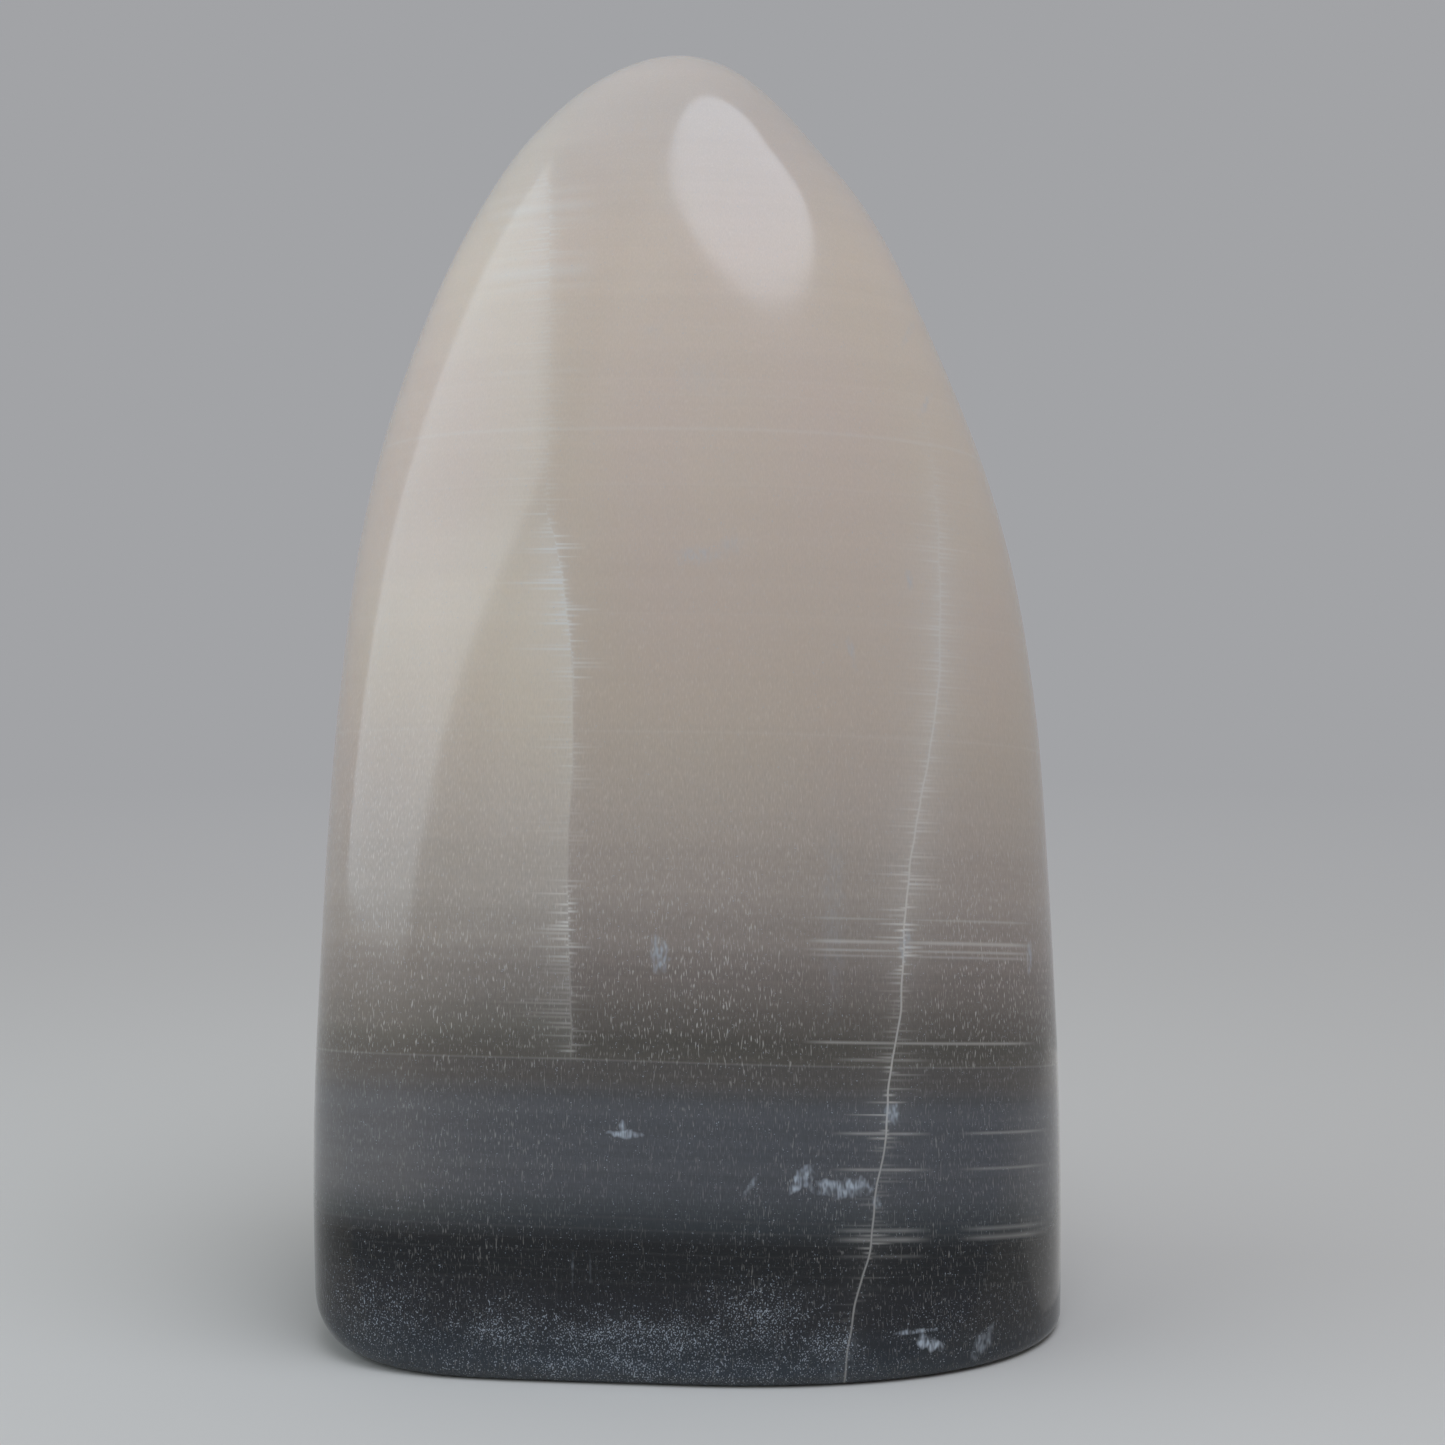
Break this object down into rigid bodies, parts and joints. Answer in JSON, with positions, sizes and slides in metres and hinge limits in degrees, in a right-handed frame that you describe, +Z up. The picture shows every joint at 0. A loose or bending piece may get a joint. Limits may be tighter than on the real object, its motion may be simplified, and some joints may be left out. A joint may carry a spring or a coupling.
{
  "type": "pink calcite freeform",
  "caption": "Polished freestanding banded calcite: a pink-beige translucent dome grading to slate and black layers, cut flat to stand.",
  "frame": {"origin": "middle of the stone's bounding box, on the flat cut base", "axes": "+Z up towards the tip, -Y towards the broad front face, +X to the right of that face"},
  "size_m": [0.0682, 0.052, 0.115],
  "materials": {
    "stone": "polished, translucent, layered pink-beige over grey, slate and black"
  },
  "bodies": {
    "root": {"stone": "stone"}
  },
  "joints": []
}
